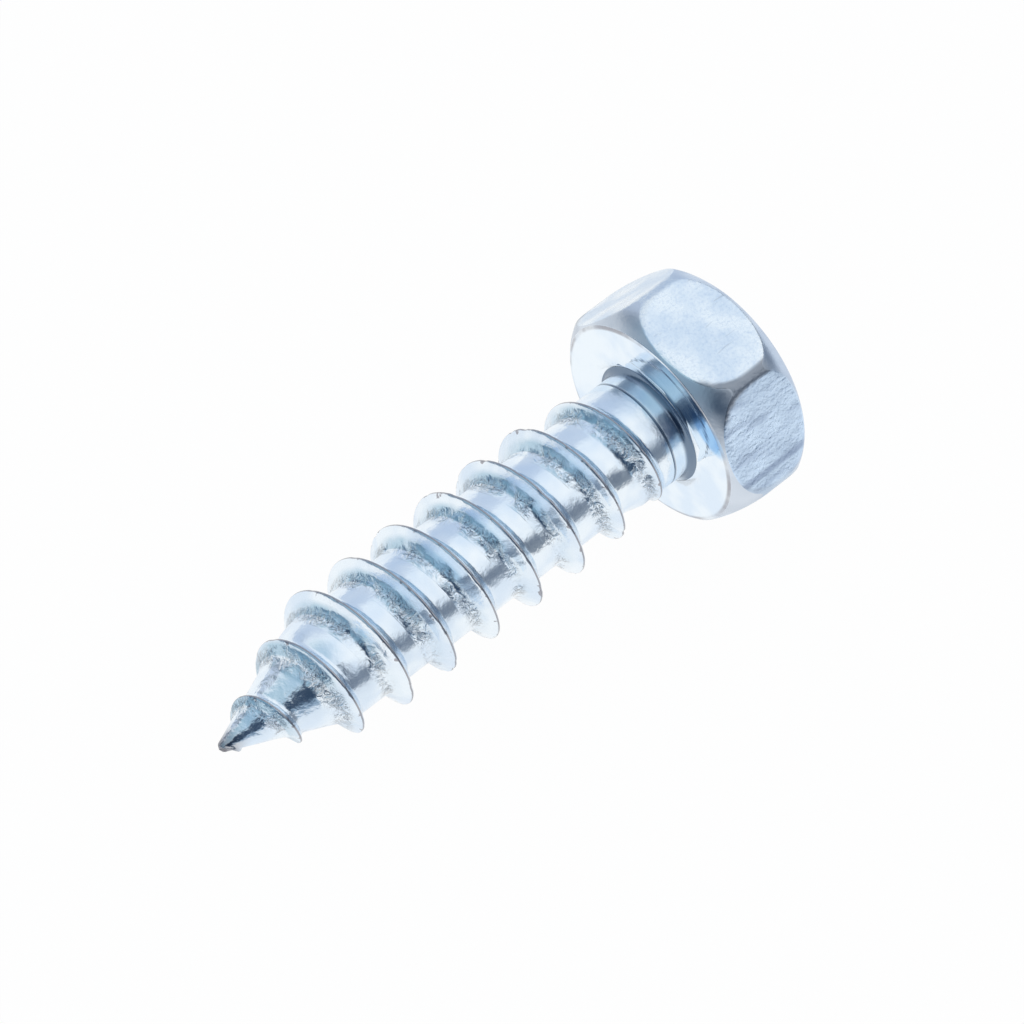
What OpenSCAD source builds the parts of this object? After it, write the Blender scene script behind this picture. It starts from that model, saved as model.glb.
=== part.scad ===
// Hex head sheet metal screw, size 3.5 x 13 mm, lying as it comes to rest on a flat surface.
// One piece of cold-headed and thread-rolled steel. All lengths are in millimetres.

/* [Head] */
// Width of the head across its flats
head_flats = 5.32; // [5.32:0.02:5.5]
// Width of the head across its rounded corners
head_corners = 6.04; // [5.96:0.02:6.14]
// Height of the head above its bearing face
head_height = 2.5; // [2.35:0.05:2.6]
// Diameter of the flat bearing face under the head
bearing_d = 5.16; // [5:0.02:5.26]
// Angle between the bearing face and the chamfer below the flats
under_chamfer = 45; // [35:1:55]
// Diameter of the flat top of the head
top_d = 4.8; // [4.4:0.1:5.1]
// Angle between the top face and the chamfer above the flats
top_chamfer = 35; // [28:1:45]
// Radius that rounds the corners of the head into both chamfers
corner_round = 1.15; // [0.7:0.05:1.3]
// Radius that softens the edges of the bearing face and of the top
rim_round = 0.1; // [0.04:0.02:0.14]

/* [Neck] */
// Diameter of the plain neck
neck_d = 2.76; // [2.66:0.02:2.9]
// Length of the plain neck, from the bearing face to its lower end
neck_len = 1.35; // [1.2:0.05:1.5]
// Radius of the fillet between the neck and the bearing face
neck_fillet = 0.16; // [0.08:0.02:0.2]
// Angle between the axis and the short cone from the neck down to the core
neck_cone = 16; // [12:1:30]

/* [Thread] */
// Largest diameter, over the crests of the thread
thread_d = 3.44; // [3.35:0.01:3.53]
// Diameter of the core between the turns of the thread
core_d = 2.54; // [2.46:0.02:2.64]
// Distance along the axis from one crest to the next
pitch = 1.3; // [1.2:0.05:1.4]
// Angle between the two flanks of the thread
flank_angle = 60; // [50:1:65]
// Width of the narrow land along the crest
crest_land = 0.06; // [0.04:0.01:0.1]
// Reach of the fillet at the foot of each flank
foot_fillet = 0.08; // [0.04:0.01:0.1]
// Turn of the thread about the axis, in degrees, measured at the flat that lies down
thread_turn = 194; // [0:2:358]
// Distance from the bearing face down to where the thread has its full depth
full_depth = 3; // [2.8:0.1:3.5]
// Distance from the bearing face down to where the thread has run out
thread_end = 0.35; // [0.25:0.05:0.5]

/* [Point] */
// Length from the bearing face to the end of the point
screw_len = 13; // [12.2:0.1:13.8]
// Width of the blunt end of the point
tip_d = 0.18; // [0.14:0.02:0.3]
// Height of the low dome on the blunt end
tip_dome = 0.05; // [0.02:0.01:0.08]
// Angle between the sides of the core's cone
core_point = 43; // [40:1:47]
// Angle between the sides of the cone that the shrinking crests lie on
crest_point = 51; // [48:1:55]
// Distance from the end of the point to where the crest cone would close
crest_lead = 0.35; // [0.3:0.05:0.5]
// Length at the end of the point over which the thread grows out of the core
thread_start = 0.65; // [0.5:0.05:0.8]

/* [Hidden] */

// Number of steps round one turn of the thread, and round one full circle of the head
STEPS = 48;
$fn = 96;
// Straight pieces in a rounded edge of the head, and in the neck's fillet
EDGE_STEPS = 5;
// Largest share of its two sides that a small or a large rounding may take up
SMALL_SHARE = 0.2;
LARGE_SHARE = 0.8;
// How far one solid reaches into another, so that they join with no shared face
OVERLAP = 0.4;
// Height that sets the width of the foot where the thread starts and ends
LEAST_HEIGHT = 0.02;

flat_r = head_flats / 2;
core_r = core_d / 2;
crest_r = thread_d / 2;
tip_r = tip_d / 2;
foot_slope = tan(flank_angle / 2);

// Radius of the bare core at a height z, with the bearing face at 0 and the point at -screw_len
function core_at(z) = min(core_r, tip_r + (z + screw_len) * tan(core_point / 2));

// Share of its full depth that the thread has at a height z. It falls slowly at first, and
// quickly where the crest sinks into the neck.
function runout(z) = sqrt(min(1, max(0, -z - thread_end) / (full_depth - thread_end)));

// Height above the core of the cone on which the crests of the point lie
function point_crest(z) =
    (z + screw_len + crest_lead) * tan(crest_point / 2) - core_at(z);

// Radius of the crest whose middle is at a height z
function crest_at(z) =
    core_at(z) + min((crest_r - core_r) * runout(z),
                     point_crest(z) * min(1, max(0, z + screw_len) / thread_start));

// Points of an arc that rounds the corner b of a path from a to c. Its radius is r, or less where
// the arc would take more than the given share of a side.
function unit(v) = v / norm(v);
function rounded(a, b, c, r, share) =
    let (u = unit(a - b), v = unit(c - b), half = acos(u * v) / 2,
         fit = min(r, share * min(norm(a - b), norm(c - b)) * tan(half)),
         centre = b + unit(u + v) * fit / sin(half),
         from = b + u * fit / tan(half) - centre,
         to = b + v * fit / tan(half) - centre)
    [for (i = [0 : EDGE_STEPS])
        centre + fit * unit(from * (1 - i / EDGE_STEPS) + to * i / EDGE_STEPS)];

// Corners of the outline that the head is turned to, as radius and height
rim = [bearing_d / 2, 0];
low = [head_corners / 2, (head_corners - bearing_d) / 2 * tan(under_chamfer)];
high = [head_corners / 2, head_height - (head_corners - top_d) / 2 * tan(top_chamfer)];
top = [top_d / 2, head_height];

// Lower half of the outline, from the bearing face to the corners' largest radius
under_outline = concat(
    rounded([0, 0], rim, low, rim_round, SMALL_SHARE),
    rounded(rim, low, high, corner_round, LARGE_SHARE));

head_outline = concat(
    [[0, 0]],
    under_outline,
    rounded(low, high, top, corner_round, LARGE_SHARE),
    rounded(high, top, [0, head_height], rim_round, SMALL_SHARE),
    [[0, head_height]]);

// Flats of the hexagon, with the corners and both chamfers turned on them
module head() {
    intersection() {
        translate([0, 0, -OVERLAP])
            rotate([0, 0, 30])
                cylinder(d = head_flats / cos(30), h = head_height + 2 * OVERLAP, $fn = 6);
        rotate_extrude()
            polygon(head_outline);
    }
}

// Plain neck, with its fillet under the head and a short cone that ends inside the core
module neck() {
    neck_r = neck_d / 2;
    cone_r = core_r - OVERLAP;
    corner = [neck_r, 0];
    rotate_extrude()
        polygon(concat(
            [[0, OVERLAP], [0, -neck_len - (neck_r - cone_r) / tan(neck_cone)]],
            [[cone_r, -neck_len - (neck_r - cone_r) / tan(neck_cone)], [neck_r, -neck_len]],
            rounded([neck_r, -neck_len], corner, [flat_r, 0], neck_fillet, SMALL_SHARE),
            [[neck_r + neck_fillet, OVERLAP]]));
}

// The core, thread and point are one skin. Its points run along the thread: each step of the
// helix holds a row of points from the middle of one gap, over the crest, to the middle of the next.
first_turn = floor(-screw_len / pitch) - 2;
last_turn = 2;
steps = (last_turn - first_turn) * STEPS;

// Height of the crest's middle after a number of steps
function crest_z(i) = pitch * (first_turn + i / STEPS - thread_turn / 360);

// Half the width of the thread's foot on the core, for a crest at a height z. It stays a little
// wider than the crest where the thread has no height.
function foot_at(z) = crest_land / 2 + max(LEAST_HEIGHT, crest_at(z) - core_at(z)) * foot_slope;

// Places of a row's points along the axis, measured from the crest's middle
function row_places(z) =
    let (foot = foot_at(z), fillet = min(foot_fillet, (pitch / 2 - foot) / 2, (foot - crest_land / 2) / 2),
         side = [crest_land / 2, foot - fillet * sin(flank_angle / 2), foot + fillet, pitch / 2])
    concat([for (k = [3 : -1 : 0]) -side[k]], side);
ROW = 8;

// Radius of a row's point at a place u from the crest's middle
function row_radius(z, u) =
    max(core_at(z + u),
        min(crest_at(z), core_at(z) + (foot_at(z) - abs(u)) / foot_slope));

skin_top = 0;
skin_bottom = -screw_len + tip_dome;

function ring(r, z) = [for (i = [0 : STEPS - 1]) [r * cos(360 * i / STEPS), r * sin(360 * i / STEPS), z]];

skin_points = concat(
    [for (i = [0 : steps])
        let (z = crest_z(i), a = 360 * i / STEPS)
        for (u = row_places(z))
            let (r = row_radius(z, u)) [r * cos(a), r * sin(a), z + u]],
    ring(tip_r, skin_bottom),
    ring(core_r, skin_top),
    [[0, 0, -screw_len], [0, 0, skin_top]]);

bottom_ring = (steps + 1) * ROW;
top_ring = bottom_ring + STEPS;
bottom_end = top_ring + STEPS;
top_end = bottom_end + 1;

// Number of the point at step i and place j of a row. What lies past an end of the skin is
// gathered into the ring there.
function skin_index(i, j) =
    let (z = skin_points[i * ROW + j][2])
    z <= skin_bottom ? bottom_ring + i % STEPS :
    z >= skin_top ? top_ring + i % STEPS :
    j == ROW - 1 && i + STEPS <= steps ? (i + STEPS) * ROW : i * ROW + j;

function is_face(f) = f[0] != f[1] && f[1] != f[2] && f[2] != f[0];

skin_faces = concat(
    [for (i = [0 : steps - 1], j = [0 : ROW - 2])
        let (a = skin_index(i, j), b = skin_index(i + 1, j),
             c = skin_index(i + 1, j + 1), d = skin_index(i, j + 1))
        for (f = [[a, c, b], [a, d, c]])
            if (is_face(f)) f],
    [for (i = [0 : STEPS - 1])
        [bottom_ring + (i + 1) % STEPS, bottom_end, bottom_ring + i]],
    [for (i = [0 : STEPS - 1])
        [top_ring + i, top_end, top_ring + (i + 1) % STEPS]]);

module threaded_shank() {
    polyhedron(points = skin_points, faces = skin_faces, convexity = 10);
}

// At rest one flat lies down on its edge near the bearing face, and the screw tips until a
// crest touches. The crest that touches is the one that needs the smallest tilt.
flat_edge = lookup(flat_r, under_outline);
low_crests = [for (n = [1 : -first_turn]) crest_z((-first_turn - n) * STEPS)];
rest_tilt = min([for (z = low_crests)
    if (z < -full_depth && z > -screw_len) atan((flat_r - crest_at(z)) / (flat_edge - z))]);
rest_height = flat_r * cos(rest_tilt) - flat_edge * sin(rest_tilt);

// Ends of the resting screw along x, which set the origin halfway between them
far_end = max([for (p = head_outline) p[1] * cos(rest_tilt) + min(p[0], flat_r) * sin(rest_tilt)]);
near_end = min(-screw_len * cos(rest_tilt), (-screw_len + tip_dome) * cos(rest_tilt) - tip_r * sin(rest_tilt));

module screw() {
    color("lightsteelblue")
        translate([-(far_end + near_end) / 2, 0, rest_height])
            rotate([0, 90 - rest_tilt, 0])
                union() {
                    head();
                    neck();
                    threaded_shank();
                }
}

screw();
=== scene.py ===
"""Hex head sheet metal screw, 3.5 x 13 mm, bright zinc plated, lying on a pale floor.

The screw is one piece of steel. Its core, thread and point are one skin that a Geometry Nodes
tree lays along a helix. The head is built face by face on the profile that turns round the axis.
Both parts meet on the neck and are one mesh.
"""
import logging
import math
from collections.abc import Mapping
from dataclasses import dataclass, field
from enum import Enum
from typing import Any

import bmesh
import bpy
from mathutils import Matrix, Vector


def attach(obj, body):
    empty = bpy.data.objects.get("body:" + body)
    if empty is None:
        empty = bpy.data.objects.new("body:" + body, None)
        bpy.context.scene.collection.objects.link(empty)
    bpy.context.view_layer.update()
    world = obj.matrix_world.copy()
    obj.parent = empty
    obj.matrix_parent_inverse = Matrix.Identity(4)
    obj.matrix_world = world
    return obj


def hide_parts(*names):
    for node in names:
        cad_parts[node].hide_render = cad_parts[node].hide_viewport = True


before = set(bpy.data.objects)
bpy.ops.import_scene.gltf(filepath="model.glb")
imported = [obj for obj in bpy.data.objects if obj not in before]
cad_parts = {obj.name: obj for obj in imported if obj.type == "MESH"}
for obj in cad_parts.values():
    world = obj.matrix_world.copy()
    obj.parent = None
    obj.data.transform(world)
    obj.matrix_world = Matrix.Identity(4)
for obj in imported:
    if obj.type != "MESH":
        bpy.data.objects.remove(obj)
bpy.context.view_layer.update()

LOG = logging.getLogger("screw")
MM = 0.001
IMAGE_PX = 1024
# Points closer than this are one point
JOIN_MM = 0.0004
# Setting of a ramp that starts and ends softly
SOFT = {"interpolation_type": "SMOOTHSTEP"}

# What an input can be linked from: a socket, or a node for its first output
Source = bpy.types.Node | bpy.types.NodeSocket
# What a finish can follow: "place" as the screw lies, in metres, "own" in the screw's own
# frame, in millimetres, and the measures stored on its mesh, by name
Places = Mapping[str, bpy.types.NodeSocket]
# Share and sRGB hex colour of each mark
Marks = list[tuple[Source, str]]


class Surface(Enum):
    """Which finish a face of the screw carries, as its material index."""

    ROLLED = 0
    FACED = 1
    STRUCK = 2
    TRIMMED = 3


def linear(code: str) -> tuple[float, float, float, float]:
    """Turns an sRGB hex colour into linear light.

    Args:
        code: Six hex digits.

    Returns:
        Red, green, blue and an alpha of 1.
    """
    parts = [int(code[i:i + 2], 16) / 255 for i in (0, 2, 4)]
    red, green, blue = (p / 12.92 if p <= 0.04045 else ((p + 0.055) / 1.055) ** 2.4 for p in parts)
    return red, green, blue, 1.0


def add_node(
    tree: bpy.types.NodeTree,
    kind: str,
    links: Mapping[int | str, Any] | None = None,
    **settings: Any,
) -> bpy.types.Node:
    """Adds a node with its settings and links.

    Args:
        tree: The tree that gets the node.
        kind: The node's type.
        links: For each input, by name or number: a socket to link from, a node for its first
            output, or a plain value.
        settings: Attributes of the node.

    Returns:
        The new node.
    """
    node = tree.nodes.new(kind)
    for name, value in settings.items():
        setattr(node, name, value)
    for key, value in (links or {}).items():
        if isinstance(value, bpy.types.Node):
            value = value.outputs[0]
        if isinstance(value, bpy.types.NodeSocket):
            tree.links.new(value, node.inputs[key])
        else:
            node.inputs[key].default_value = value
    return node


@dataclass(frozen=True)
class Sizes:
    """The screw's own sizes in millimetres and degrees, the same as in the CAD model."""

    head_flats: float = 5.32
    head_corners: float = 6.04
    head_height: float = 2.5
    bearing_d: float = 5.16
    under_chamfer: float = 45
    top_d: float = 4.8
    top_chamfer: float = 35
    corner_round: float = 1.15
    rim_round: float = 0.1
    neck_d: float = 2.76
    neck_len: float = 1.35
    neck_fillet: float = 0.16
    neck_cone: float = 16
    thread_d: float = 3.44
    core_d: float = 2.54
    pitch: float = 1.3
    flank_angle: float = 60
    crest_land: float = 0.06
    thread_turn: float = 194
    full_depth: float = 3
    thread_end: float = 0.35
    screw_len: float = 13
    tip_d: float = 0.18
    tip_dome: float = 0.05
    core_point: float = 43
    crest_point: float = 51
    crest_lead: float = 0.35
    thread_start: float = 0.65
    rest_tilt: float = 5.58969
    rest_height: float = 2.63956
    shift: float = 5.10946

    def placing(self) -> Matrix:
        """Gives the way from the screw's own frame, axis up and bearing face at 0, to how it lies.

        Returns:
            The matrix, in metres.
        """
        angle = math.radians(90 - self.rest_tilt)
        move = Matrix.Translation((self.shift * MM, 0, self.rest_height * MM))
        return move @ Matrix.Rotation(angle, 4, "Y")


SIZES = Sizes()
# The shank's skin and the head meet at this height on the plain neck
SEAM_Z = -0.25
RING_STEPS = 144


@dataclass(frozen=True)
class ZincFinish:
    """Bright zinc plating with a clear blue passivation, over bare steel.

    Every face of the screw shares this metal skin, a little blue, with soft clouds where the bath
    left more or less of it. Each finish adds the relief and the marks that its forming left, and
    some finishes also add painted shade and painted reflections to the colour.
    """

    name: str
    roughness: float
    relief_mm: float
    stored: tuple[str, ...] = ()
    pale: str = "EFF8FF"
    blue: str = "E0EEFC"
    worn: str = "8C878D"
    clouds_mm: float = 0.9
    grain_mm: float = 0.08

    def relief(self, tree: bpy.types.NodeTree, at: Places) -> Source:
        """Adds the height of the surface, from about 0 to 1, that the bump follows.

        Args:
            tree: The material's tree.
            at: What the height can follow.

        Returns:
            The height. Here it is a fine grain that only blurs what the metal mirrors.
        """
        return add_node(
            tree, "ShaderNodeTexNoise",
            {"Vector": at["place"], "Scale": 1 / (self.grain_mm * MM), "Detail": 3.0})

    def marks(self, tree: bpy.types.NodeTree, at: Places) -> Marks:
        """Adds the marks in the colour: those that forming, drying and wear left, and painted shade and
        painted reflections.

        Args:
            tree: The material's tree.
            at: What the marks can follow.

        Returns:
            The share and the colour of each mark, in the order in which they cover each other.
        """
        raise NotImplementedError

    def build(self) -> bpy.types.Material:
        """Makes the material.

        Returns:
            The finished material.
        """
        material = bpy.data.materials.new(self.name)
        material.use_nodes = True
        tree = material.node_tree
        tree.nodes.clear()
        at = {
            "place": add_node(tree, "ShaderNodeTexCoord").outputs["Object"],
            "own": add_node(tree, "ShaderNodeAttribute", attribute_name="own_place").outputs["Vector"],
        }
        for name in self.stored:
            at[name] = add_node(tree, "ShaderNodeAttribute", attribute_name=name).outputs["Fac"]
        clouds = add_node(
            tree, "ShaderNodeTexNoise",
            {"Vector": at["place"], "Scale": 1 / (self.clouds_mm * MM), "Detail": 2.0})
        cloudy = add_node(
            tree, "ShaderNodeMapRange", {"Value": clouds, "From Min": 0.35, "From Max": 0.65}, **SOFT)
        colour: Any = linear(self.blue)
        for share, code in [(cloudy, self.pale), *self.marks(tree, at)]:
            colour = add_node(
                tree, "ShaderNodeMix", {0: share, 6: colour, 7: linear(code)},
                data_type="RGBA").outputs[2]
        rough = add_node(
            tree, "ShaderNodeMapRange",
            {"Value": clouds, "From Min": 0.3, "From Max": 0.7,
             "To Min": self.roughness * 1.3, "To Max": self.roughness * 0.8},
            **SOFT)
        bump = add_node(
            tree, "ShaderNodeBump",
            {"Height": self.relief(tree, at), "Strength": 1.0, "Distance": self.relief_mm * MM})
        metal = add_node(
            tree, "ShaderNodeBsdfPrincipled",
            {"Base Color": colour, "Metallic": 1.0, "Roughness": rough, "Normal": bump})
        add_node(tree, "ShaderNodeOutputMaterial", {"Surface": metal})
        LOG.info("finish: %s", self.name)
        return material


@dataclass(frozen=True)
class RolledZinc(ZincFinish):
    """Zinc over the thread-rolled core, thread and neck.

    The dies press the steel smooth and slightly wavy, so the room shows in it with ragged
    borders. Metal folds over where each flank that faces the point runs into the core, which
    looks like crumpled foil there, with painted shade along its creases. The crests knock together
    in the barrel and turn grey-brown. The hollow below each crest has a passivation tint with
    painted reflection and shade, and the fillet under the head has painted shade on its upper side.
    """

    name: str = "bright_zinc_on_rolled_steel"
    roughness: float = 0.2
    relief_mm: float = 0.03
    stored: tuple[str, ...] = ("foot_gap", "crest_off")
    ring_z_mm: float = -0.5
    fold_mm: float = 0.19
    fold_patch_mm: float = 0.7
    fold_height: float = 4.2
    wave_mm: float = 0.36
    pool_patch_mm: float = 0.5
    # Y about which the painted reflection and shade in the hollows is strongest
    painted_reflection_y_mm: float = 0.25
    speck_mm: float = 0.22
    # Passivation tint with painted reflection and shade, in the hollow below each crest
    hollow_tint_and_reflection_colour: str = "BAD4E5"
    # Painted shade along the creases of the folds
    fold_shade_colour: str = "4E6076"
    # Painted shade on the fillet's upper side, and the darker ring line round the neck
    fillet_shade_and_ring_line_colour: str = "60768F"

    def threaded(self, tree: bpy.types.NodeTree, at: Places) -> Source:
        """Adds 1 where the thread runs, and 0 on the plain neck above its end.

        Args:
            tree: The material's tree.
            at: What the share can follow.

        Returns:
            The share.
        """
        level = add_node(tree, "ShaderNodeSeparateXYZ", {0: at["own"]}).outputs["Z"]
        return add_node(
            tree, "ShaderNodeMapRange",
            {"Value": level, "From Min": -0.7, "From Max": -0.4, "To Min": 1.0, "To Max": 0.0}, **SOFT)

    def folded(self, tree: bpy.types.NodeTree, at: Places) -> tuple[Source, Source]:
        """Adds the creases of the folded metal, and where they are.

        Args:
            tree: The material's tree.
            at: What the folds can follow.

        Returns:
            The creases, from 0 to 1, and the share of them that each place has.
        """
        core_side = add_node(
            tree, "ShaderNodeMapRange",
            {"Value": at["foot_gap"], "From Min": -0.34, "From Max": -0.06}, **SOFT)
        flank_side = add_node(
            tree, "ShaderNodeMapRange",
            {"Value": at["foot_gap"], "From Min": 0.0, "From Max": 0.14, "To Min": 1.0, "To Max": 0.0},
            **SOFT)
        patches = add_node(
            tree, "ShaderNodeTexNoise",
            {"Vector": at["place"], "Scale": 1 / (self.fold_patch_mm * MM), "Detail": 1.0})
        some = add_node(
            tree, "ShaderNodeMapRange",
            {"Value": patches, "From Min": 0.4, "From Max": 0.6, "To Min": 0.15, "To Max": 1.0}, **SOFT)
        where = core_side
        for share in (flank_side, some, self.threaded(tree, at)):
            where = add_node(tree, "ShaderNodeMath", {0: where, 1: share}, operation="MULTIPLY")
        creases = add_node(
            tree, "ShaderNodeTexNoise",
            {"Vector": at["place"], "Scale": 1 / (self.fold_mm * MM), "Detail": 4.0, "Distortion": 1.5})
        return creases, where

    def off_ring(self, tree: bpy.types.NodeTree, at: Places) -> Source:
        """Adds the distance from the ring line round the neck.

        Args:
            tree: The material's tree.
            at: What the distance can follow.

        Returns:
            The distance in millimetres.
        """
        level = add_node(tree, "ShaderNodeSeparateXYZ", {0: at["own"]}).outputs["Z"]
        beside = add_node(tree, "ShaderNodeMath", {0: level, 1: self.ring_z_mm}, operation="SUBTRACT")
        return add_node(tree, "ShaderNodeMath", {0: beside}, operation="ABSOLUTE")

    def relief(self, tree: bpy.types.NodeTree, at: Places) -> Source:
        """Adds waves, the folds at the thread's foot, and a fine ring line round the neck.

        Args:
            tree: The material's tree.
            at: What the height can follow.

        Returns:
            The height.
        """
        creases, where = self.folded(tree, at)
        folds = add_node(tree, "ShaderNodeMath", {0: creases, 1: where}, operation="MULTIPLY")
        waves = add_node(
            tree, "ShaderNodeTexNoise",
            {"Vector": at["place"], "Scale": 1 / (self.wave_mm * MM), "Detail": 4.0, "Roughness": 0.5})
        # The waves are calmer on the neck than on the thread, and much rougher at the point
        level = add_node(tree, "ShaderNodeSeparateXYZ", {0: at["own"]}).outputs["Z"]
        calm = add_node(
            tree, "ShaderNodeMapRange",
            {"Value": level, "From Min": -1.2, "From Max": -0.8, "To Min": 0.75, "To Max": 0.45}, **SOFT)
        point = add_node(
            tree, "ShaderNodeMapRange",
            {"Value": level, "From Min": -11.6, "From Max": -10.2, "To Min": 1.1, "To Max": 0.0}, **SOFT)
        calm = add_node(tree, "ShaderNodeMath", {0: calm, 1: point}, operation="ADD")
        waves = add_node(tree, "ShaderNodeMath", {0: waves, 1: calm}, operation="MULTIPLY")
        height = add_node(
            tree, "ShaderNodeMath", {0: folds, 1: self.fold_height, 2: waves}, operation="MULTIPLY_ADD")
        groove = add_node(
            tree, "ShaderNodeMapRange",
            {"Value": self.off_ring(tree, at), "From Min": 0.0, "From Max": 0.04,
             "To Min": 0.5, "To Max": 0.0},
            **SOFT)
        return add_node(tree, "ShaderNodeMath", {0: height, 1: groove}, operation="SUBTRACT")

    def hollow_tint_and_painted_reflection(self, tree: bpy.types.NodeTree, at: Places) -> Source:
        """Adds the passivation tint in the hollow below each crest, with painted reflection and shade there.

        Args:
            tree: The material's tree.
            at: What the share can follow.

        Returns:
            The share of it.
        """
        inner = add_node(
            tree, "ShaderNodeMapRange",
            {"Value": at["foot_gap"], "From Min": -0.04, "From Max": 0.01}, **SOFT)
        outer = add_node(
            tree, "ShaderNodeMapRange",
            {"Value": at["foot_gap"], "From Min": 0.1, "From Max": 0.19, "To Min": 1.0, "To Max": 0.0},
            **SOFT)
        drops = add_node(
            tree, "ShaderNodeTexNoise",
            {"Vector": at["place"], "Scale": 1 / (self.pool_patch_mm * MM), "Detail": 2.0})
        some = add_node(
            tree, "ShaderNodeMapRange",
            {"Value": drops, "From Min": 0.35, "From Max": 0.55, "To Min": 0.6, "To Max": 1.0}, **SOFT)
        # Painted reflection and shade: full near the top and bottom of the shank, centred a little towards
        # +Y, weak at its sides
        side = add_node(tree, "ShaderNodeSeparateXYZ", {0: at["place"]}).outputs["Y"]
        side = add_node(tree, "ShaderNodeMath", {0: side, 1: self.painted_reflection_y_mm * MM}, operation="SUBTRACT")
        side = add_node(tree, "ShaderNodeMath", {0: side}, operation="ABSOLUTE")
        dried = add_node(
            tree, "ShaderNodeMapRange",
            {"Value": side, "From Min": 0.7 * MM, "From Max": 1.3 * MM, "To Min": 1.0, "To Max": 0.15},
            **SOFT)
        hollow_tint_and_painted_reflection = inner
        for share in (outer, some, dried, self.threaded(tree, at)):
            hollow_tint_and_painted_reflection = add_node(tree, "ShaderNodeMath", {0: hollow_tint_and_painted_reflection, 1: share}, operation="MULTIPLY")
        return hollow_tint_and_painted_reflection

    def painted_fold_shade(self, tree: bpy.types.NodeTree, at: Places) -> Source:
        """Adds painted shade: dark lines along the creases of the folds.

        Args:
            tree: The material's tree.
            at: What the share can follow.

        Returns:
            The share of them.
        """
        creases, where = self.folded(tree, at)
        shade_line = add_node(tree, "ShaderNodeMath", {0: creases, 1: 0.5}, operation="SUBTRACT")
        shade_line = add_node(tree, "ShaderNodeMath", {0: shade_line}, operation="ABSOLUTE")
        shade_line = add_node(
            tree, "ShaderNodeMapRange",
            {"Value": shade_line, "From Min": 0.005, "From Max": 0.03, "To Min": 0.85, "To Max": 0.0}, **SOFT)
        return add_node(tree, "ShaderNodeMath", {0: shade_line, 1: where}, operation="MULTIPLY")

    def rubbed(self, tree: bpy.types.NodeTree, at: Places) -> Source:
        """Adds the rubbed crests, with small nicks where the mark is wider.

        Args:
            tree: The material's tree.
            at: What the share can follow.

        Returns:
            The share of the mark.
        """
        specks = add_node(
            tree, "ShaderNodeTexNoise",
            {"Vector": at["place"], "Scale": 1 / (self.speck_mm * MM), "Detail": 2.0})
        wider = add_node(
            tree, "ShaderNodeMapRange",
            {"Value": specks, "From Min": 0.58, "From Max": 0.78, "To Min": 0.0, "To Max": 0.07}, **SOFT)
        beside = add_node(tree, "ShaderNodeMath", {0: at["crest_off"], 1: wider}, operation="SUBTRACT")
        rubbed = add_node(
            tree, "ShaderNodeMapRange",
            {"Value": beside, "From Min": 0.01, "From Max": 0.034, "To Min": 0.75, "To Max": 0.0}, **SOFT)
        return add_node(
            tree, "ShaderNodeMath", {0: rubbed, 1: self.threaded(tree, at)}, operation="MULTIPLY")

    def marks(self, tree: bpy.types.NodeTree, at: Places) -> Marks:
        """Adds the tint with painted reflection and shade in the hollows, the painted shade along the
        folds, the rubbed crests and point, the painted shade on the fillet's upper side and the darker
        ring line round the neck.

        Args:
            tree: The material's tree.
            at: What the marks can follow.

        Returns:
            The share and the colour of each mark, in order.
        """
        level = add_node(tree, "ShaderNodeSeparateXYZ", {0: at["own"]}).outputs["Z"]
        point = add_node(
            tree, "ShaderNodeMapRange",
            {"Value": level, "From Min": -12.95, "From Max": -12.3, "To Min": 0.75, "To Max": 0.0}, **SOFT)
        # Painted shade: the fillet under the head is darker on its upper side, by height in the scene
        height = add_node(tree, "ShaderNodeSeparateXYZ", {0: at["place"]}).outputs["Z"]
        above = add_node(
            tree, "ShaderNodeMapRange",
            {"Value": height, "From Min": 1.5 * MM, "From Max": 2.1 * MM}, **SOFT)
        fillet = add_node(
            tree, "ShaderNodeMapRange",
            {"Value": level, "From Min": -0.22, "From Max": -0.1, "To Min": 0.0, "To Max": 0.9}, **SOFT)
        fillet = add_node(tree, "ShaderNodeMath", {0: fillet, 1: above}, operation="MULTIPLY")
        ring = add_node(
            tree, "ShaderNodeMapRange",
            {"Value": self.off_ring(tree, at), "From Min": 0.01, "From Max": 0.045,
             "To Min": 0.75, "To Max": 0.0},
            **SOFT)
        # The tint in the hollows carries painted reflection and shade; the folds' lines and the fillet's
        # upper side are painted shade
        return [
            (self.hollow_tint_and_painted_reflection(tree, at), self.hollow_tint_and_reflection_colour),
            (self.painted_fold_shade(tree, at), self.fold_shade_colour),
            (self.rubbed(tree, at), self.worn),
            (point, self.worn),
            (fillet, self.fillet_shade_and_ring_line_colour),
            (ring, self.fillet_shade_and_ring_line_colour),
        ]


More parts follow.
